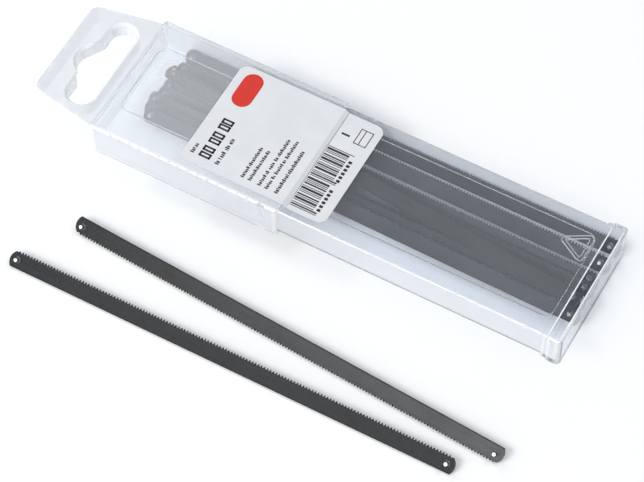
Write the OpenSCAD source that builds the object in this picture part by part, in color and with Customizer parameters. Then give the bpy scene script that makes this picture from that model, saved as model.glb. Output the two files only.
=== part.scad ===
// Spare coping-saw blades in a clear telescopic hanging case, with two blades lying loose in front.
// Millimetres, +Z up, +X along the case from the hanging tab to the end flange.

/* [Case] */
// length of the outer sleeve without the hanging tab
sleeve_len = 65.5; // [50:0.5:90]
// outside width of the case
case_w = 46.6; // [40:0.1:60]
// outside height of the case
case_h = 12.8; // [10:0.1:20]
// wall thickness of the sleeve
sleeve_wall = 0.7; // [0.5:0.05:1.2]
// running gap between sleeve and tube on every side
slide_gap = 0.3; // [0.1:0.05:0.5]
// wall thickness of the tube
tube_wall = 0.8; // [0.5:0.05:1.5]
// overall length from the closed end of the sleeve to the end flange
case_len = 160.3; // [155:0.1:200]
// thickness of the end flange rim
flange_len = 5; // [3:0.1:8]
// rounding of the long edges
edge_r = 1; // [0.5:0.1:2]
// distance between two detent dents
dent_pitch = 3.43; // [3:0.01:4]
// number of detent dents on each long edge
dent_count = 15; // [0:1:16]

/* [Hanging tab] */
// how far the tab stands out of the sleeve
tab_len = 23.2; // [18:0.1:30]
// wall thickness of the tab
tab_wall = 1; // [0.8:0.1:1.5]
// total length of the hang slot
slot_len = 33; // [28:0.5:36]
// width of the two wings of the hang slot
slot_w = 8.8; // [7:0.1:11]
// radius of the central bump of the hang slot
bump_r = 5.6; // [4:0.1:7]
// chamfer round the slot
slot_lip = 0.9; // [0.3:0.1:1.2]

/* [Blades] */
// distance between the two cross pins of a blade
pin_span = 145; // [100:1:150]
// blade width from back to tooth tips
blade_w = 5.4; // [4:0.1:8]
// blade thickness
blade_t = 0.65; // [0.4:0.05:1]
// distance between two teeth
tooth_pitch = 1.0; // [0.8:0.1:2]
// depth of the teeth
tooth_h = 0.7; // [0.3:0.05:1]
// diameter of a cross pin
pin_d = 1.4; // [1:0.1:2]
// how far a pin stands out of each face of the blade
pin_out = 1.7; // [1:0.1:2.5]

/* [Label] */
// label thickness
label_t = 0.1; // [0.1:0.05:0.3]
// label start, from the closed end of the sleeve
label_x0 = 29.6; // [10:0.1:40]
// label end, from the closed end of the sleeve
label_x1 = 79.7; // [70:0.1:100]

/* [Hidden] */
origin_x = (case_len - tab_len)/2;
origin_y = -0.88;
mid_y = case_w/2;
mid_z = case_h/2;
tube_y0 = sleeve_wall + slide_gap;
tube_x0 = 1.6;
tube_w = case_w - 2*tube_y0;
tube_h = case_h - 2*tube_y0;
end_wall = 0.9;
in_y0 = tube_y0 + tube_wall;
in_z0 = tube_y0 + tube_wall;
in_w = tube_w - 2*tube_wall;
in_h = tube_h - 2*tube_wall;
tab_top = case_h - 1;
slot_y = 22.8;
slot_x = -9.3;
slot_reach = slot_len/2 - slot_w/2;
bump_x = -12.2;
panel_groove = 0.35;
groove_depth = 0.15;
rest_z = in_z0 + 0.15;
end_over = 2.5;
tooth_root = blade_w - tooth_h;
tooth_n = floor((pin_span + 1)/tooth_pitch);
// how the blades lie: left pin x, near edge y, near edge z, tilt, turn, teeth on the near side
case_lay = [
  [11.7, 41.15, rest_z + 0.55, 52, 0, 0],
  [11.4, 35.5, rest_z, 40.6, -0.5, 0],
  [11.0, 28.4, rest_z, 48, -0.28, 0],
  [11.0, 25.1, rest_z, 48, -0.28, 0],
  [9.6, 21.8, rest_z, 48, -0.28, 0],
  [10.2, 18.5, rest_z, 48, -0.28, 0],
  [11.6, 15.63, rest_z + 0.55, 48, -0.7, 0],
  [10.9, 29.4, 8.25, 3, -5.38, 0]];
front_lay = [2.43, -47.94, 0, 40.6, 0.34, 0];
rear_lay = [13.32, -28.39, 0, 40.6, -3.61, 1];

// ---- shared shapes ----
module rounded(x0, y0, x1, y1, r) {
  translate([x0 + r, y0]) square([x1 - x0 - 2*r, y1 - y0]);
  translate([x0, y0 + r]) square([x1 - x0, y1 - y0 - 2*r]);
  for (x = [x0 + r, x1 - r], y = [y0 + r, y1 - r]) translate([x, y]) circle(r, $fn = 48);
}

// a bar along X whose long edges are rounded
module long_bar(x0, x1, y0, z0, w, h, r) {
  translate([x0, 0, 0]) rotate([90, 0, 90]) linear_extrude(x1 - x0) rounded(y0, z0, y0 + w, z0 + h, r);
}

// a long bar that also has its four upright corners rounded
module soft_box(x0, x1, y0, z0, w, h, r, corner) {
  intersection() {
    long_bar(x0, x1, y0, z0, w, h, r);
    translate([0, 0, z0 - 1]) linear_extrude(h + 2) rounded(x0, y0, x1, y0 + w, corner);
  }
}

module ring_groove(x0, y0, x1, y1, r, z, depth) {
  translate([0, 0, z - depth]) linear_extrude(depth + 1) difference() {
    rounded(x0, y0, x1, y1, r);
    rounded(x0 + panel_groove, y0 + panel_groove, x1 - panel_groove, y1 - panel_groove, r - panel_groove);
  }
}

// ---- hanging tab ----
module tab_plan(inset) {
  polygon([[0.3, 1.1 + inset], [0.3, 45.3 - inset], [-20.75, 41.35 - inset], [-tab_len + inset, 38.4],
    [-tab_len + inset, 7.9], [-20.75, 4.95 + inset]]);
  for (y = [7.9, 38.4]) translate([3 - tab_len, y]) circle(3 - inset, $fn = 64);
}

module slot_plan(grow) {
  translate([slot_x - slot_w/2 - grow, slot_y - slot_reach]) square([slot_w + 2*grow, 2*slot_reach]);
  for (s = [-1, 1]) translate([slot_x, slot_y + s*slot_reach]) circle(slot_w/2 + grow, $fn = 64);
  translate([bump_x, slot_y]) circle(bump_r + grow, $fn = 64);
  polygon([[slot_x - slot_w/2 - grow, slot_y - 8.2], [slot_x - slot_w/2 - grow, slot_y + 8.2],
    [-16.3 - grow, slot_y + 4.1], [-16.3 - grow, slot_y - 4.1]]);
}

module slot_chamfer() {
  translate([0, 0, tab_top - slot_lip]) {
    for (s = [-1, 1]) translate([slot_x, slot_y + s*slot_reach])
      cylinder(h = slot_lip, r1 = slot_w/2, r2 = slot_w/2 + slot_lip, $fn = 64);
    translate([bump_x, slot_y]) cylinder(h = slot_lip, r1 = bump_r, r2 = bump_r + slot_lip, $fn = 64);
    translate([slot_x, slot_y + slot_reach, 0]) rotate([90, 0, 0]) linear_extrude(2*slot_reach)
      polygon([[-slot_w/2, 0], [slot_w/2, 0], [slot_w/2 + slot_lip, slot_lip], [-slot_w/2 - slot_lip, slot_lip]]);
  }
  translate([0, 0, tab_top]) linear_extrude(2) slot_plan(slot_lip);
}

module tab() {
  difference() {
    union() {
      difference() {
        translate([0, 0, 2.5]) linear_extrude(tab_top - 2.5) tab_plan(0);
        translate([0, 0, 0]) linear_extrude(tab_top - tab_wall) intersection() {
          tab_plan(tab_wall);
          translate([-tab_len, 0]) square([tab_len - 0.05, case_w]);
        }
      }
      translate([0, 0, 6.4]) linear_extrude(tab_top - 6.4 - tab_wall/2) slot_plan(tab_wall);
    }
    translate([0, 0, 0]) linear_extrude(case_h) slot_plan(0);
    slot_chamfer();
    // the skirt rises towards the free end
    translate([0.3, -1, 2.5]) rotate([0, 186, 0]) cube([tab_len + 8, case_w + 2, 8]);
  }
}

// ---- case ----
module dents(dy, dz) {
  for (i = [0:dent_count - 1]) translate([7.3 + i*dent_pitch, dy, dz]) sphere(0.62, $fn = 32);
}

module sleeve_shell() {
  difference() {
    soft_box(0, sleeve_len, 0, 0, case_w, case_h, edge_r, 1.6);
    translate([sleeve_wall, sleeve_wall, sleeve_wall])
      cube([sleeve_len, case_w - 2*sleeve_wall, case_h - 2*sleeve_wall]);
    for (y = [0.1, case_w - 0.1], z = [0.1, case_h - 0.1]) dents(y, z);
    // nicks that free the latch edges
    for (y = [0, case_w], z = [-1.15, case_h - 0.95]) translate([60, y, z]) rotate([0, 0, 45])
      translate([-1.05, -1.05, 0]) cube([2.1, 2.1, 2.1]);
    ring_groove(4, 10.3, 62, 37, 3, case_h, groove_depth);
    // crossed strokes moulded into the near wall by the nick
    for (a = [-28, 28]) translate([60.2, 0, 8.6]) rotate([0, a, 0]) translate([-0.2, -1, -2.4])
      cube([0.4, 1.2, 4.8]);
  }
}

module sleeve() {
  color([0.86, 0.89, 0.92, 0.4]) {
    sleeve_shell();
    tab();
  }
}

module relief_mark() {
  // plain triangle of three bars
  for (a = [60, 180, 300]) translate([149.5, 34, tab_top]) rotate([0, 0, a]) translate([-3.3, -3.7, -0.1])
    cube([1, 7.4, 0.3]);
}

module tube() {
  color([0.86, 0.89, 0.92, 0.4]) {
    difference() {
      union() {
        long_bar(tube_x0, case_len - 1, tube_y0, tube_y0, tube_w, tube_h, 0.8);
        soft_box(case_len - flange_len - 1.4, case_len - 1, 0.5, 0.5, case_w - 1, case_h - 1, 0.8, 1.2);
        soft_box(case_len - flange_len, case_len, 0, 0, case_w, case_h, 1.2, 2);
      }
      translate([tube_x0 - 1, in_y0, in_z0]) cube([case_len - tube_x0 + 1 - end_wall, in_w, in_h]);
      ring_groove(76, 6.9, 153.5, case_w - 6.9, 3, tab_top, groove_depth);
    }
    relief_mark();
  }
}

// ---- label, slit at the sleeve mouth ----
module label_sleeve_part() {
  color([0.92, 0.93, 0.95]) {
    translate([0, 0, case_h]) linear_extrude(label_t) intersection() {
      rounded(label_x0, 3.5, label_x1, 43.3, 3);
      square([sleeve_len + label_t/3, case_w]);
    }
    translate([sleeve_len, 3.5, case_h]) rotate([0, 35, 0]) cube([1.5, 39.8, label_t]);
  }
}

module label_tube_part() {
  color([0.92, 0.93, 0.95]) translate([0, 0, tab_top]) linear_extrude(label_t) intersection() {
    rounded(label_x0, 3.5, label_x1, 43.3, 3);
    translate([sleeve_len + 1.4, 0]) square([30, case_w]);
  }
}

// ---- blades ----
module blade_plan() {
  polygon(concat(
    [[pin_span + 1.7, 0], [-1.7, 0], [-2.15, 0.8], [-end_over + 0.07, 1.6], [-end_over, 2.4],
      [-2.4, 3.2], [-2.1, 4.0], [-1.6, 4.65], [-1.2, tooth_root + 0.15], [-0.5, tooth_root + 0.15]],
    [for (i = [0:tooth_n - 1], k = [0:1])
      k == 0 ? [-0.5 + i*tooth_pitch, tooth_root] : [-0.5 + (i + 0.35)*tooth_pitch, blade_w]],
    [[pin_span + 0.5, tooth_root], [pin_span + 0.5, tooth_root + 0.15], [pin_span + 1.2, tooth_root + 0.15],
      [pin_span + 1.6, 4.65], [pin_span + 2.1, 4.0], [pin_span + 2.4, 3.2], [pin_span + end_over, 2.4],
      [pin_span + end_over - 0.07, 1.6], [pin_span + 2.15, 0.8]]));
}

// puts a blade that lies flat with its left pin at the origin where the lay says
module place(lay) {
  translate([lay[0], lay[1], lay[2]]) rotate([0, 0, lay[4]]) rotate([lay[3], 0, 0])
    translate([lay[5]*pin_span, lay[5]*blade_w, 0]) rotate([0, 0, lay[5]*180]) children();
}

module blade(lay, shade) {
  color(shade) place(lay) linear_extrude(blade_t) difference() {
    blade_plan();
    for (s = [0, pin_span]) translate([s, blade_w/2]) circle(d = pin_d, $fn = 32);
  }
}

module pins(lay) {
  color([0.72, 0.74, 0.77]) place(lay) for (s = [0, pin_span])
    translate([s, blade_w/2, -pin_out]) cylinder(h = blade_t + 2*pin_out, d = pin_d, $fn = 32);
}

module case_blade(i) { blade(case_lay[i], [0.36, 0.38, 0.4]); }
module case_pins(i) { pins(case_lay[i]); }
module loose_blade_front() { blade(front_lay, [0.26, 0.27, 0.28]); }
module loose_pins_front() { pins(front_lay); }
module loose_blade_rear() { blade(rear_lay, [0.26, 0.27, 0.28]); }
module loose_pins_rear() { pins(rear_lay); }

translate([-origin_x, -origin_y, 0]) {
  sleeve();
  tube();
  label_sleeve_part();
  label_tube_part();
  case_blade(0);  // case_blade_1
  case_blade(1);  // case_blade_2
  case_blade(2);  // case_blade_3
  case_blade(3);  // case_blade_4
  case_blade(4);  // case_blade_5
  case_blade(5);  // case_blade_6
  case_blade(6);  // case_blade_7
  case_blade(7);  // case_blade_8
  case_pins(0);  // case_pins_1
  case_pins(1);  // case_pins_2
  case_pins(2);  // case_pins_3
  case_pins(3);  // case_pins_4
  case_pins(4);  // case_pins_5
  case_pins(5);  // case_pins_6
  case_pins(6);  // case_pins_7
  case_pins(7);  // case_pins_8
  loose_blade_front();
  loose_pins_front();
  loose_blade_rear();
  loose_pins_rear();
}
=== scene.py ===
"""Looks of a clear telescopic case of saw blades with two loose blades in front. Lengths below are in mm."""
import math

import bmesh
import bpy
from mathutils import Matrix, Vector


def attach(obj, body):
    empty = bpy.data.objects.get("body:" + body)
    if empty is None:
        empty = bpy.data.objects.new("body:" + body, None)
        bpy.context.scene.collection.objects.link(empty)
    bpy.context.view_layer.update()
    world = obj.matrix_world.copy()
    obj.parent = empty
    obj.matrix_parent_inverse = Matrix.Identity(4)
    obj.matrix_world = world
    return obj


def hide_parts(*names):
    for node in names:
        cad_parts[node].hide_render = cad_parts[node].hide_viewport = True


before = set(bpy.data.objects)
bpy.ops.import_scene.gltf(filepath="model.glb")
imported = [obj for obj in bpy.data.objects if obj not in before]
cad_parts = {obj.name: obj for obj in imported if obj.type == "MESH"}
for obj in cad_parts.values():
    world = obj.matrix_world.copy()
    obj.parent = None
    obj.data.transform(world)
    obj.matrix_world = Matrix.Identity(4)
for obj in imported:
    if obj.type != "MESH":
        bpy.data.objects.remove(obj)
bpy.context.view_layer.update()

MM = 0.001
ORIGIN = Vector((68.55, -0.88, 0.0))  # the row frame's origin, measured from the sleeve's closed near corner

# case
CASE_W = 46.6
CASE_H = 12.8
CASE_LEN = 160.3  # from the sleeve's closed end to the end flange
SLEEVE_LEN = 65.5
TUBE_TOP = CASE_H - 1.0
LABEL_T = 0.1
RELIEF_X, RELIEF_Y = 149.5, 34.0
MOUTH_X = (SLEEVE_LEN - ORIGIN.x) * MM  # the sleeve's open end, in metres in the row frame

# blades
PIN_SPAN = 145.0
BLADE_W = 5.4
BLADE_T = 0.65
TOOTH_H = 0.7
TOOTH_PITCH = 1.0
TOOTH_SET = 0.09  # how far a tooth leans out of the blade's face
CHAMFER = 0.06
PIN_R = 0.7
PIN_OUT = 1.7
REST_Z = 1.95  # lowest edge of a blade in the case, just above the tube's floor
RAISED = 0.55  # how much higher the first and seventh blades lie
LEAN = 40.6  # tilt of a blade that rests on its pins and one long edge

# tones of the clear plastic, with its painted highlight and shade
BEND_HAZE_AND_HIGHLIGHT = (0.93, 0.94, 0.95)
TAB_GREY = (0.835, 0.845, 0.865)
UNDERSIDE_SHADOW_GREY = (0.20, 0.21, 0.23)
WALL_SHADE_GREY = (0.85, 0.862, 0.885)
FAR_WALL_LIGHTENING_HAZE = 0.36

# camera
CAMERA_PLACE = (311.65, -415.90, 739.82)
CAMERA_YAW, CAMERA_PITCH = -0.506, 0.994
CAMERA_LENS = 163.23


def at(x, y, z=0.0):
    """A point of the case, in mm from the sleeve's corner, as metres in the row frame."""
    return (Vector((x, y, z)) - ORIGIN) * MM


# ---------------------------------------------------------------- node helpers
class Nodes:
    """A new material's node tree with short calls for the nodes used here."""

    def __init__(self, name):
        self.mat = bpy.data.materials.new(name)
        self.mat.use_nodes = True
        self.tree = self.mat.node_tree
        self.tree.nodes.clear()
        self.coord = self.add("ShaderNodeTexCoord").outputs["Object"]

    def add(self, kind, **values):
        n = self.tree.nodes.new(kind)
        for k, v in values.items():
            setattr(n, k, v)
        return n

    def put(self, socket, value):
        if isinstance(value, bpy.types.NodeSocket):
            self.tree.links.new(value, socket)
        else:
            socket.default_value = value

    def math(self, op, a, b=0.0):
        n = self.add("ShaderNodeMath", operation=op)
        self.put(n.inputs[0], a)
        self.put(n.inputs[1], b)
        return n.outputs[0]

    def noise(self, scale, stretch=(1, 1, 1), detail=3.0, rough=0.5):
        m = self.add("ShaderNodeMapping")
        self.put(m.inputs["Vector"], self.coord)
        m.inputs["Scale"].default_value = stretch
        n = self.add("ShaderNodeTexNoise")
        self.put(n.inputs["Vector"], m.outputs[0])
        n.inputs["Scale"].default_value = scale
        n.inputs["Detail"].default_value = detail
        n.inputs["Roughness"].default_value = rough
        return n.outputs["Fac"]

    def span(self, value, lo, hi, to_lo, to_hi):
        n = self.add("ShaderNodeMapRange")
        self.put(n.inputs["Value"], value)
        for k, v in zip(("From Min", "From Max", "To Min", "To Max"), (lo, hi, to_lo, to_hi)):
            self.put(n.inputs[k], v)
        return n.outputs[0]

    def mix(self, fac, a, b):
        n = self.add("ShaderNodeMix", data_type="RGBA")
        self.put(n.inputs[0], fac)
        self.put(n.inputs[6], (*a, 1) if isinstance(a, tuple) else a)
        self.put(n.inputs[7], (*b, 1) if isinstance(b, tuple) else b)
        return n.outputs[2]

    def bump(self, height, strength, depth, normal=None):
        n = self.add("ShaderNodeBump")
        n.inputs["Strength"].default_value = strength
        n.inputs["Distance"].default_value = depth * MM
        self.put(n.inputs["Height"], height)
        if normal:
            self.put(n.inputs["Normal"], normal)
        return n.outputs[0]

    def principled(self, **values):
        n = self.add("ShaderNodeBsdfPrincipled")
        for k, v in values.items():
            name = k.replace("_", " ").title().replace("Ior", "IOR")
            self.put(n.inputs[name], (*v, 1) if isinstance(v, tuple) and len(v) == 3 else v)
        return n.outputs[0]

    def shade(self, fac, a, b):
        n = self.add("ShaderNodeMixShader")
        self.put(n.inputs[0], fac)
        self.put(n.inputs[1], a)
        self.put(n.inputs[2], b)
        return n.outputs[0]

    def finish(self, shader):
        out = self.add("ShaderNodeOutputMaterial")
        self.tree.links.new(shader, out.inputs["Surface"])
        return self.mat


def clear_plastic(name, haze, tint, rough, shade, wave, edge, side, clear_from=None, inner_tint=None,
                  tab_haze=0.0):
    """Milky clear polypropylene: it bends and mirrors like glass, and it scatters a share of the light."""
    n = Nodes(name)
    flow = n.noise(70, (0.3, 1.6, 1.6), 4.0, 0.6)
    satin = n.noise(1300, (1, 1, 1), 2.0)
    bump = n.bump(satin, 0.3 * wave, 0.01, n.bump(flow, wave, 0.12))
    place = n.add("ShaderNodeSeparateXYZ")
    n.put(place.inputs[0], n.coord)
    base = n.mix(n.span(flow, 0.35, 0.65, 0.0, 1.0), tuple(0.985 * c for c in tint), tint)
    # painted shade: outside the sleeve the tube takes the darker tint, inside it a clear one
    if inner_tint:
        shaded_outside = n.span(place.outputs["X"], MOUTH_X - 4 * MM, MOUTH_X + 2 * MM, 0.0, 1.0)
        base = n.mix(shaded_outside, inner_tint, base)
    cloud = n.span(flow, 0.3, 0.7, 1.15 * haze, 0.85 * haze)
    if clear_from is not None:
        flange = n.span(place.outputs["X"], clear_from, clear_from + 0.4 * MM, 1.0, 0.35)
        cloud = n.math("MULTIPLY", cloud, flange)
    # plastic looks whiter along its rounded edges, where light has the longest way through it; the cloud added
    # on the bends that don't face down is a painted highlight
    face = n.add("ShaderNodeSeparateXYZ")
    n.put(face.inputs[0], n.add("ShaderNodeTexCoord").outputs["Normal"])
    total = n.math("ADD", n.math("ABSOLUTE", face.outputs["X"]), n.math("ABSOLUTE", face.outputs["Y"]))
    total = n.math("ADD", total, n.math("ABSOLUTE", face.outputs["Z"]))
    upper_highlight = n.span(face.outputs["Z"], -0.2, 0.0, 0.0, edge)
    bend = n.span(total, 1.04, 1.38, 0.0, 1.0)
    base = n.mix(bend, base, BEND_HAZE_AND_HIGHLIGHT)
    cloud = n.math("ADD", cloud, n.math("MULTIPLY", bend, upper_highlight))
    if tab_haze:
        tab = n.span(place.outputs["X"], -ORIGIN.x * MM, (0.5 - ORIGIN.x) * MM, 1.0, 0.0)
        cloud = n.math("ADD", cloud, n.math("MULTIPLY", tab, tab_haze))
        base = n.mix(tab, base, TAB_GREY)
    # the undersides of the long edges are dark: a painted contact shadow
    under = n.math("MULTIPLY", bend, n.span(face.outputs["Z"], -0.5, -0.25, 1.0, 0.0))
    base = n.mix(under, base, UNDERSIDE_SHADOW_GREY)
    cloud = n.math("ADD", cloud, n.math("MULTIPLY", under, 0.6))
    # upright walls are cloudy and a greyer tone, painted shade; the far ones are cloudier than the near ones,
    # which paints them lighter
    walls = n.math("MULTIPLY", n.span(place.outputs["Y"], -10 * MM, 10 * MM, side, FAR_WALL_LIGHTENING_HAZE),
                   n.span(place.outputs["Z"], (TUBE_TOP - 0.5) * MM, (TUBE_TOP - 0.3) * MM, 1.0, 0.0))
    upright = n.span(n.math("ABSOLUTE", face.outputs["Y"]), 0.95, 0.99, 0.0, 1.0)
    base = n.mix(upright, base, WALL_SHADE_GREY)
    cloud = n.math("ADD", cloud, n.math("MULTIPLY", upright, walls))
    solid = n.principled(base_color=base, transmission_weight=n.math("SUBTRACT", 1.0, cloud),
                         roughness=rough, ior=1.49, normal=bump)
    # shadow and diffuse rays pass straight through, so the case keeps its contents lit
    ray = n.add("ShaderNodeLightPath")
    lit = n.math("MAXIMUM", ray.outputs["Is Shadow Ray"], ray.outputs["Is Diffuse Ray"])
    clear = n.add("ShaderNodeBsdfTransparent")
    clear.inputs["Color"].default_value = (0.992 * shade, shade, 1.008 * shade, 1)
    return n.finish(n.shade(lit, solid, clear.outputs[0]))


def blade_steel(name, low, high, end_sheen=0.0, matt=0.0):
    """Dark rolled spring steel with a grain along it, darkest at its back and teeth, paler towards one end as
    a painted highlight.
    """
    n = Nodes(name)
    sep = n.add("ShaderNodeSeparateXYZ")
    n.put(sep.inputs[0], n.coord)
    grain = n.noise(1000, (0.02, 2.2, 2.2), 5.0, 0.65)
    speck = n.noise(2600, (1, 1, 1), 2.0, 0.6)
    stain = n.noise(75, (1, 1, 1), 4.0, 0.6)
    base = n.mix(n.span(grain, 0.3, 0.7, 0.0, 1.0), low, high)
    base = n.mix(n.span(speck, 0.45, 0.75, 0.0, 0.7), base, tuple(1.7 * c for c in high))
    base = n.mix(n.span(stain, 0.45, 0.7, 0.0, 0.55), base, (0.027, 0.0245, 0.0235))
    # painted highlight: paler towards the pin at x = 0
    base = n.mix(n.span(sep.outputs["X"], 0.0, PIN_SPAN * MM, end_sheen, 0.0), base, (0.105, 0.108, 0.113))
    back = n.span(sep.outputs["Y"], 0.15 * MM, 0.40 * MM, 0.85, 0.0)
    root = BLADE_W - TOOTH_H
    teeth = n.span(sep.outputs["Y"], (root - 0.1) * MM, (root + 0.3) * MM, 0.0, 0.8)
    base = n.mix(n.math("MAXIMUM", back, teeth), base, (0.003, 0.003, 0.004))
    rough = n.math("ADD", n.span(grain, 0.3, 0.7, 0.28 + matt, 0.46 + matt),
                   n.span(stain, 0.35, 0.7, -0.06, 0.09))
    bump = n.bump(speck, 0.25, 0.02, n.bump(grain, 0.35, 0.03))
    return n.finish(n.principled(base_color=base, metallic=0.6, roughness=rough, specular_ior_level=0.35,
                                 normal=bump))


def pin_steel(name, base, rough):
    """Cut steel wire: drawing lines round the sides, shear marks on the ends."""
    n = Nodes(name)
    lines = n.noise(1800, (1, 1, 0.25), 3.0, 0.6)
    color = n.mix(n.span(lines, 0.3, 0.7, 0.0, 1.0), tuple(0.8 * c for c in base), base)
    return n.finish(n.principled(base_color=color, metallic=1.0,
                                 roughness=n.span(lines, 0.3, 0.7, rough, rough + 0.15),
                                 normal=n.bump(lines, 0.3, 0.03)))


def label_paper():
    """Satin white sticker with a faint paper fibre under its coating."""
    n = Nodes("label_paper")
    fibre = n.noise(700, (1, 0.35, 1), 5.0, 0.65)
    mottle = n.noise(120, (1, 1, 1), 3.0)
    base = n.mix(n.span(mottle, 0.35, 0.65, 0.0, 1.0), (0.69, 0.70, 0.715), (0.725, 0.735, 0.75))
    return n.finish(n.principled(base_color=base, roughness=n.span(fibre, 0.3, 0.7, 0.38, 0.52),
                                 normal=n.bump(fibre, 0.2, 0.02)))


def ink(name, dark, light):
    """Printed ink, slightly uneven over the paper."""
    n = Nodes(name)
    grain = n.noise(1400, (1, 1, 1), 4.0, 0.6)
    base = n.mix(n.span(grain, 0.3, 0.7, 0.0, 1.0), dark, light)
    return n.finish(n.principled(base_color=base, roughness=0.45, normal=n.bump(grain, 0.15, 0.01)))


def studio_floor():
    n = Nodes("floor_paper")
    grain = n.noise(260, (1, 1, 1), 4.0)
    base = n.mix(grain, (0.93, 0.93, 0.93), (0.95, 0.95, 0.95))
    return n.finish(n.principled(base_color=base, roughness=0.85))


# ---------------------------------------------------------------- mesh helpers
def mesh_object(name, bm, mats, place=None, smooth=False):
    mesh = bpy.data.meshes.new(name)
    bmesh.ops.recalc_face_normals(bm, faces=bm.faces)
    bm.to_mesh(mesh)
    bm.free()
    for m in mats:
        mesh.materials.append(m)
    if smooth:
        mesh.polygons.foreach_set("use_smooth", [True] * len(mesh.polygons))
    o = bpy.data.objects.new(name, mesh)
    bpy.context.scene.collection.objects.link(o)
    if place:
        o.matrix_world = place
    return o


def rounded_outline(x0, y0, x1, y1, r, steps=6):
    """The corner-rounded rectangle as a list of points, anticlockwise."""
    pts = []
    corners = ((x1 - r, y1 - r, 0), (x0 + r, y1 - r, 90), (x0 + r, y0 + r, 180), (x1 - r, y0 + r, 270))
    for cx, cy, a0 in corners:
        for k in range(steps + 1):
            a = math.radians(a0 + 90 * k / steps)
            pts.append((cx + r * math.cos(a), cy + r * math.sin(a)))
    return pts


def add_plate(bm, pts, z0, z1):
    """A flat plate with the outline pts between two heights."""
    low = [bm.verts.new(at(x, y, z0)) for x, y in pts]
    high = [bm.verts.new(at(x, y, z1)) for x, y in pts]
    bm.faces.new(low[::-1])
    bm.faces.new(high)
    for i in range(len(pts)):
        j = (i + 1) % len(pts)
        bm.faces.new((low[i], low[j], high[j], high[i]))


def print_marks(name, shapes, z, mat, body):
    """Rounded marks (x0, y0, x1, y1, radius) printed on a surface at height z."""
    bm = bmesh.new()
    for x0, y0, x1, y1, r in shapes:
        r = min(r, (x1 - x0) / 2.01, (y1 - y0) / 2.01)
        add_plate(bm, rounded_outline(x0, y0, x1, y1, r, 4), z + 0.002, z + 0.008)
    o = mesh_object(name, bm, [mat])
    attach(o, body)


def bead(name, path, z, width, height, mat, body, closed=True):
    """A low half-round line that stands on a surface along a path."""
    bm = bmesh.new()
    rings = []
    count = len(path)
    for i, (x, y) in enumerate(path):
        ax, ay = path[i - 1 if closed or i else 0]
        bx, by = path[(i + 1) % count if closed else min(i + 1, count - 1)]
        t = Vector((bx - ax, by - ay)).normalized()
        nx, ny = -t.y, t.x
        ring = []
        for k in range(7):
            a = math.pi * k / 6
            o, h = math.cos(a) * width / 2, math.sin(a) * height
            ring.append(bm.verts.new(at(x + nx * o, y + ny * o, z + h - 0.02)))
        rings.append(ring)
    for i in range(count if closed else count - 1):
        a, b = rings[i], rings[(i + 1) % count]
        for k in range(6):
            bm.faces.new((a[k], a[k + 1], b[k + 1], b[k]))
        bm.faces.new((a[0], b[0], b[6], a[6]))
    if not closed:
        bm.faces.new(rings[0])
        bm.faces.new(rings[-1][::-1])
    o = mesh_object(name, bm, [mat], smooth=True)
    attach(o, body)


# ---------------------------------------------------------------- blades
def blade_matrix(x, y, z, tilt, turn, flip):
    m = Matrix.Translation(at(x, y, z)) @ Matrix.Rotation(math.radians(turn), 4, "Z")
    m = m @ Matrix.Rotation(math.radians(tilt), 4, "X")
    if flip:
        m = m @ Matrix.Translation(Vector((PIN_SPAN, BLADE_W, 0)) * MM) @ Matrix.Rotation(math.pi, 4, "Z")
    return m


def end_curve(side):
    """The round end of a blade beyond its pin, from the sharp back corner to the step before the teeth."""
    pts = []
    for k in range(13):
        w = CHAMFER + (4.95 - CHAMFER) * k / 12
        bulge = 2.5 - 0.8 * ((w - 2.3) / 2.3) ** 2 if w < 2.3 else 2.5 - 1.2 * ((w - 2.3) / 2.65) ** 2.2
        pts.append((bulge, w))
    return [(-s, w) for s, w in pts] if side < 0 else [(PIN_SPAN + s, w) for s, w in pts]


def blade_mesh():
    """The toothed strip: left pin's centre line at x = 0, back at y = 0, lower face at z = 0."""
    root, count = BLADE_W - TOOTH_H, int((PIN_SPAN + 1) / TOOTH_PITCH)
    bm = bmesh.new()
    layers = []
    for z in (0.0, BLADE_T):
        s0 = -0.5
        back = [bm.verts.new(Vector((s0 + i * TOOTH_PITCH, CHAMFER, z)) * MM) for i in range(count + 1)]
        line = [bm.verts.new(Vector((s0 + i * TOOTH_PITCH, root, z)) * MM) for i in range(count + 1)]
        tips, gull = [], []
        for i in range(count):
            lean = TOOTH_SET * (1, -1, 0)[i % 3]
            tips.append(bm.verts.new(Vector((s0 + (i + 0.35) * TOOTH_PITCH, BLADE_W, z + lean)) * MM))
            gullet = Vector((s0 + (i + 0.68) * TOOTH_PITCH, root + 0.06, z + lean * 0.3))
            gull.append(bm.verts.new(gullet * MM))
        left = [bm.verts.new(Vector((s, w, z)) * MM) for s, w in end_curve(-1)]
        right = [bm.verts.new(Vector((s, w, z)) * MM) for s, w in end_curve(1)]
        step_l = bm.verts.new(Vector((s0, root + 0.15, z)) * MM)
        step_r = bm.verts.new(Vector((s0 + count, root + 0.15, z)) * MM)
        for i in range(count):
            bm.faces.new((back[i], back[i + 1], line[i + 1], line[i]))
            bm.faces.new((line[i], line[i + 1], gull[i], tips[i]))
        bm.faces.new([back[0], line[0], step_l] + left[::-1])
        bm.faces.new([back[-1]] + right + [step_r, line[-1]])
        rim = left + [step_l, line[0]]
        for i in range(count):
            rim += [tips[i], gull[i], line[i + 1]]
        rim += [step_r] + right[::-1] + back[::-1]
        layers.append(rim)
    low, high = layers

    def side_row(rim, dz):
        """The outline again inside the thickness, drawn out to the sharp back edge."""
        back_edge = 1.01 * CHAMFER * MM
        return [bm.verts.new((v.co.x, 0.0 if v.co.y < back_edge else v.co.y, v.co.z + dz)) for v in rim]

    rows = [low, side_row(low, CHAMFER * MM), side_row(high, -CHAMFER * MM), high]
    for a, b in zip(rows, rows[1:]):
        for i in range(len(a)):
            j = (i + 1) % len(a)
            bm.faces.new((a[i], a[j], b[j], b[i]))
    return bm


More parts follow.
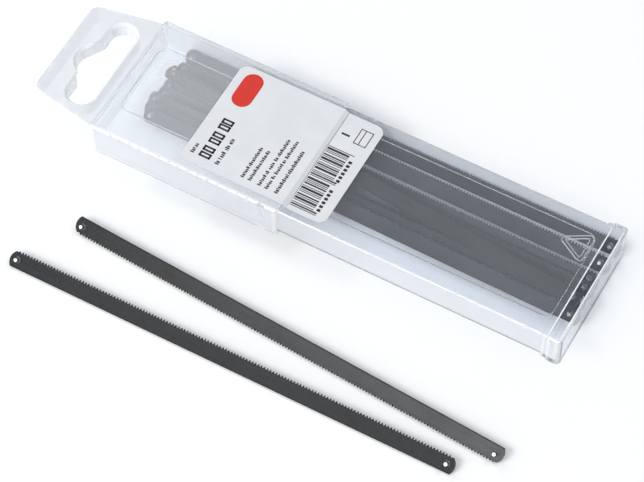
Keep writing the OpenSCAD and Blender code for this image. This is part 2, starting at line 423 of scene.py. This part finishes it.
def pins_mesh():
    """Two cross pins of chamfered wire, each with a small pressed rim round it on both faces of the blade."""
    bm = bmesh.new()
    turn = 28
    for s in (0.0, PIN_SPAN):
        lo, hi = -PIN_OUT, BLADE_T + PIN_OUT
        profile = [(0.0, lo), (PIN_R - 0.16, lo), (PIN_R - 0.04, lo + 0.05), (PIN_R, lo + 0.16),
                   (PIN_R, -0.16), (PIN_R + 0.3, -0.07), (PIN_R + 0.36, 0.02), (PIN_R + 0.36, BLADE_T - 0.02),
                   (PIN_R + 0.3, BLADE_T + 0.07), (PIN_R, BLADE_T + 0.16), (PIN_R, hi - 0.16),
                   (PIN_R - 0.04, hi - 0.05), (PIN_R - 0.16, hi), (0.0, hi)]
        rings = []
        for r, z in profile:
            if r == 0:
                rings.append([bm.verts.new(Vector((s, BLADE_W / 2, z)) * MM)])
                continue
            rings.append([bm.verts.new(Vector((s + r * math.cos(2 * math.pi * k / turn),
                                               BLADE_W / 2 + r * math.sin(2 * math.pi * k / turn), z)) * MM)
                          for k in range(turn)])
        for a, b in zip(rings, rings[1:]):
            for k in range(turn):
                j = (k + 1) % turn
                if len(a) == 1:
                    f = bm.faces.new((a[0], b[j], b[k]))
                elif len(b) == 1:
                    f = bm.faces.new((a[k], a[j], b[0]))
                else:
                    f = bm.faces.new((a[k], a[j], b[j], b[k]))
                f.material_index = 1 if 1 in (len(a), len(b)) else 0
                f.smooth = f.material_index == 0
    return bm


def make_blade(name, lay, nodes, body, steel, pin_side, pin_end):
    """One blade and its pins, which stand for the two CAD nodes."""
    place = blade_matrix(*lay)
    o = mesh_object(name, blade_mesh(), [steel], place)
    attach(o, body)
    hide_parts(nodes[0])
    p = mesh_object(name + "_pins", pins_mesh(), [pin_side, pin_end], place)
    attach(p, body)
    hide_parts(nodes[1])


# ---------------------------------------------------------------- materials
sleeve_mat = clear_plastic("sleeve_plastic", 0.145, (0.96, 0.968, 0.982), 0.10, 0.996, 0.25, 0.6, 0.05,
                           tab_haze=0.2)
tube_mat = clear_plastic("tube_plastic", 0.05, (0.90, 0.925, 0.96), 0.03, 0.985, 0.05, 0.6, 0.10, 86.9 * MM,
                         (1.0, 1.0, 1.0))
groove_shade_mat = clear_plastic("groove_line", 0.30, (0.62, 0.65, 0.69), 0.08, 0.95, 0.1, 0.0, 0.0)
thin_groove_shade_mat = clear_plastic("groove_line_thin", 0.10, (0.70, 0.74, 0.79), 0.05, 0.98, 0.1, 0.0, 0.0)
bead_mat = clear_plastic("moulded_line", 0.05, (0.93, 0.95, 0.98), 0.04, 0.98, 0.1, 0.1, 0.0)
ridge_highlight_mat = clear_plastic("moulded_ridge", 0.55, (0.975, 0.98, 0.985), 0.05, 0.96, 0.1, 0.3, 0.0)
steel_mat = blade_steel("blade_steel", (0.006, 0.0075, 0.009), (0.017, 0.0195, 0.022))
end_sheen_mat = blade_steel("blade_steel_end_sheen", (0.008, 0.009, 0.010), (0.020, 0.022, 0.024), 0.36)
# the blue, matt, warm and pale steels differ in tone from blade to blade, partly as their own tint and partly
# as painted light and shade for blades at other tilts
blue_steel_mat = blade_steel("blade_steel_blue", (0.005, 0.008, 0.012), (0.013, 0.019, 0.026))
matt_steel_mat = blade_steel("blade_steel_matt", (0.005, 0.007, 0.009), (0.014, 0.018, 0.023), 0.0, 0.2)
warm_steel_mat = blade_steel("blade_steel_warm", (0.013, 0.013, 0.0135), (0.029, 0.0295, 0.031))
pale_steel_mat = blade_steel("blade_steel_pale", (0.012, 0.017, 0.024), (0.027, 0.036, 0.047))
pin_side_mat = pin_steel("pin_side_steel", (0.20, 0.21, 0.22), 0.32)
pin_end_mat = pin_steel("pin_end_steel", (0.62, 0.64, 0.66), 0.28)
# a darker copy of the pin end steel for the blades in the case: painted shade that dims their glints
dimmed_end_mat = pin_steel("pin_end_dimmed_steel", (0.30, 0.31, 0.33), 0.42)
paper_mat = label_paper()
black_ink = ink("print_black", (0.012, 0.012, 0.014), (0.03, 0.03, 0.033))
red_ink = ink("print_red", (0.60, 0.022, 0.010), (0.68, 0.032, 0.016))

for node, mat in (("sleeve", sleeve_mat), ("tube", tube_mat), ("label_sleeve_part", paper_mat),
                  ("label_tube_part", paper_mat)):
    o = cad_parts[node]
    if not o.material_slots:
        o.data.materials.append(mat)
    for slot in o.material_slots:
        slot.material = mat

# ---------------------------------------------------------------- blades
# left pin's x, near edge's y and z, tilt, turn, steel
CASE_BLADES = [
    (11.7, 41.15, REST_Z + RAISED, 52, 0, blue_steel_mat),
    (11.4, 35.5, REST_Z, LEAN, -0.5, matt_steel_mat),
    (11.0, 28.4, REST_Z, 48, -0.28, pale_steel_mat),
    (11.0, 25.1, REST_Z, 48, -0.28, warm_steel_mat),
    (9.6, 21.8, REST_Z, 48, -0.28, pale_steel_mat),
    (10.2, 18.5, REST_Z, 48, -0.28, matt_steel_mat),
    (11.6, 15.63, REST_Z + RAISED, 48, -0.7, blue_steel_mat),
    (10.9, 29.4, 8.25, 3, -5.38, warm_steel_mat),
]
for i, (x, y, z, tilt, turn, steel) in enumerate(CASE_BLADES, 1):
    make_blade(f"case_saw_blade_{i}", (x, y, z, tilt, turn, False), (f"case_blade_{i}", f"case_pins_{i}"),
               f"case_blade_{i}_body", steel, pin_side_mat, dimmed_end_mat)
make_blade("loose_saw_blade_front", (2.43, -47.94, 0, LEAN, 0.34, False),
           ("loose_blade_front", "loose_pins_front"), "loose_front_body", steel_mat, pin_side_mat, pin_end_mat)
# the rear blade's teeth point down, so it is raised by what their set stands out
make_blade("loose_saw_blade_rear", (13.32, -28.39, 0.07, LEAN, -3.61, True),
           ("loose_blade_rear", "loose_pins_rear"), "loose_rear_body", end_sheen_mat, pin_side_mat, pin_end_mat)

# ---------------------------------------------------------------- moulded relief on the tube
def triangle(cx, cy, radius, corner, steps=8):
    """A rounded triangle as a list of points."""
    pts = []
    for k in range(3):
        a = math.radians(60 + 120 * k)
        px, py = cx + (radius - 2 * corner) * math.cos(a), cy + (radius - 2 * corner) * math.sin(a)
        for i in range(steps + 1):
            b = a - math.pi / 3 + 2 * math.pi / 3 * i / steps
            pts.append((px + corner * math.cos(b), py + corner * math.sin(b)))
    return pts


bead("relief_outer_line", triangle(RELIEF_X, RELIEF_Y, 6.6, 1.2), TUBE_TOP, 0.5, 0.28, bead_mat, "tube_body")
bead("relief_inner_line", triangle(RELIEF_X, RELIEF_Y, 4.6, 0.7), TUBE_TOP, 0.4, 0.24, bead_mat, "tube_body")

# thin darker lines that lie in the panel grooves, painted shade in the grooves
sleeve_panel = rounded_outline(4.175, 10.475, 61.825, 36.825, 2.82)
tube_panel = rounded_outline(76.175, 7.075, 153.325, 39.525, 2.82)
bead("sleeve_panel_line", sleeve_panel, CASE_H - 0.13, 0.3, 0.1, groove_shade_mat, "sleeve_body")
bead("tube_panel_line", tube_panel, TUBE_TOP - 0.13, 0.3, 0.1, thin_groove_shade_mat, "tube_body")

# two ridges across the end flange, in whitish cloudy plastic that paints the highlights along the flange
for k, x in enumerate((CASE_LEN - 4.5, CASE_LEN - 0.75), 1):
    across = [(x, 1.5 + (CASE_W - 3) * i / 12) for i in range(13)]
    bead(f"flange_ridge_{k}", across, CASE_H, 0.42, 0.075, ridge_highlight_mat, "tube_body", False)

# ---------------------------------------------------------------- print on the label
TOP = CASE_H + LABEL_T  # the sticker's surface on the sleeve
LOW = TUBE_TOP + LABEL_T  # and on the tube
print_marks("print_red_mark", [(32.4, 28.3, 39.0, 41.6, 3.2)], TOP, red_ink, "sleeve_body")


def text_line(x0, x1, y0, words):
    """A row of small blocks that only stands for words, running along +Y."""
    out, y, k = [], y0, 0
    for w in words:
        end = y + w
        while y < end - 0.3:
            wide = (0.50, 0.66, 0.36, 0.58)[k % 4]
            low, high = x0 + (0.0, 0.3, 0.0, 0.3, 0.35)[k % 5], x1 - (0.0, 0.0, 0.1)[k % 3]
            out.append((low, y, high, y + wide, 0.12))
            y += wide + 0.19
            k += 1
        y = end + 0.45
    return out


def open_box(x0, y0, x1, y1, stroke):
    """The four bars of an empty box."""
    return [(x0, y0, x1, y0 + stroke, 0.1), (x0, y1 - stroke, x1, y1, 0.1), (x0, y0, x0 + stroke, y1, 0.1),
            (x1 - stroke, y0, x1, y1, 0.1)]


# six empty boxes
bars = []
for y in (6.8, 9.2, 12.6, 15.0, 18.4, 20.6):
    bars += open_box(34.5, y, 38.4, y + 2.0, 0.68)
print_marks("print_big_bars", bars, TOP, black_ink, "sleeve_body")
# rows of blocks
small = text_line(31.6, 32.9, 6.8, (1.9, 1.2))
small += text_line(40.3, 41.7, 6.5, (1.6, 0.4, 2.6, 2.1, 2.1))
small += text_line(49.5, 50.7, 6.2, (4.2, 7.6))
small += text_line(52.0, 53.2, 6.2, (4.0, 2.6, 4.6))
small += text_line(55.4, 56.6, 6.0, (4.3, 1.5, 3.0, 1.5, 7.2))
small += text_line(57.9, 59.1, 6.0, (3.6, 1.5, 4.2, 1.5, 7.0))
small += text_line(61.2, 62.5, 6.0, (7.6, 3.2, 6.0))
print_marks("print_small_bars", small, TOP, black_ink, "sleeve_body")

# stripes in a made-up order, two rows of blocks beside them and one plain bar
stripes, y, k = [], 5.2, 0
while y < 29.6:
    wide = (0.28, 0.55, 0.28, 0.28, 0.8)[k % 5]
    long = 76.0 if y < 6.3 or y > 28.6 or 17.0 < y < 18.2 else 74.6
    stripes.append((67.15, y, long, y + wide, 0.01))
    y += wide + (0.30, 0.30, 0.62, 0.30)[k % 4]
    k += 1
stripes += [(75.3, 6.9 + 1.55 * i, 76.5, 7.9 + 1.55 * i, 0.25) for i in range(6)]
stripes += [(75.3, 18.9 + 1.55 * i, 76.5, 19.9 + 1.55 * i, 0.25) for i in range(6)]
stripes += [(68.3, 35.3, 71.1, 36.0, 0.1)]
print_marks("print_stripes", stripes, LOW, black_ink, "tube_body")
# an empty box in two parts
frame_bars = open_box(73.0, 34.0, 77.3, 40.0, 0.3) + [(74.6, 34.2, 74.9, 39.8, 0.1)]
print_marks("print_box_outline", frame_bars, LOW, black_ink, "tube_body")

# ---------------------------------------------------------------- stage
bm = bmesh.new()
bmesh.ops.create_grid(bm, x_segments=2, y_segments=2, size=2.5)
floor = mesh_object("floor", bm, [studio_floor()], Matrix.Translation((0, 0, -0.00002)))

world = bpy.data.worlds.new("studio")
bpy.context.scene.world = world
world.use_nodes = True
sky = world.node_tree
around = sky.nodes.new("ShaderNodeTexCoord")
side = sky.nodes.new("ShaderNodeSeparateXYZ")
sky.links.new(around.outputs["Generated"], side.inputs[0])
ramps = []
for part, lo, hi in (("Z", ((0.05, (0.80, 0.83, 0.88, 1))), ((0.6, (0.68, 0.75, 0.84, 1)))),
                     ("Y", ((0.30, (1.0, 1.0, 1.0, 1))), ((0.75, (0.0, 0.0, 0.0, 1))))):
    ramp = sky.nodes.new("ShaderNodeValToRGB")
    for e, (pos, col) in zip(ramp.color_ramp.elements, (lo, hi)):
        e.position, e.color = pos, col
    ramps.append(ramp)
sky.links.new(side.outputs["Z"], ramps[0].inputs["Fac"])
half = sky.nodes.new("ShaderNodeMapRange")
half.inputs["From Min"].default_value = -1.0
sky.links.new(side.outputs["Y"], half.inputs["Value"])
sky.links.new(half.outputs[0], ramps[1].inputs["Fac"])
front = sky.nodes.new("ShaderNodeMix")
front.data_type = "RGBA"
front.inputs[7].default_value = (1.35, 1.37, 1.40, 1)
sky.links.new(ramps[1].outputs["Color"], front.inputs[0])
sky.links.new(ramps[0].outputs["Color"], front.inputs[6])
sky.links.new(front.outputs[2], sky.nodes["Background"].inputs["Color"])
sky.nodes["Background"].inputs["Strength"].default_value = 0.572


def area(name, pos, size, power, color=(1, 1, 1)):
    """A rectangular lamp that faces the row frame's origin."""
    light = bpy.data.lights.new(name, "AREA")
    light.shape = "RECTANGLE"
    light.size, light.size_y = size
    light.energy = power
    light.color = color
    o = bpy.data.objects.new(name, light)
    o.location = pos
    o.rotation_euler = (-Vector(pos)).to_track_quat("-Z", "Y").to_euler()
    bpy.context.scene.collection.objects.link(o)


area("key_softbox", (-0.28, -0.72, 0.80), (0.55, 0.35), 6.0, (1.0, 0.98, 0.95))
area("rim_left", (-0.68, 0.50, 0.62), (0.22, 0.22), 1.2)
area("rim_right", (0.42, 0.50, 0.78), (0.26, 0.18), 1.2)

camera = bpy.data.cameras.new("camera")
camera.sensor_width = 36
camera.lens = CAMERA_LENS
camera.clip_start = 0.05
cam = bpy.data.objects.new("camera", camera)
cam.location = at(*CAMERA_PLACE)
ahead = math.cos(CAMERA_PITCH)
look = Vector((math.sin(CAMERA_YAW) * ahead, math.cos(CAMERA_YAW) * ahead, -math.sin(CAMERA_PITCH)))
cam.rotation_euler = look.to_track_quat("-Z", "Y").to_euler()
bpy.context.scene.collection.objects.link(cam)
bpy.context.scene.camera = cam
bpy.context.scene.view_settings.view_transform = "Standard"
bpy.context.scene.cycles.transparent_max_bounces = 64
bpy.context.scene.cycles.max_bounces = 40
bpy.context.scene.cycles.transmission_bounces = 40
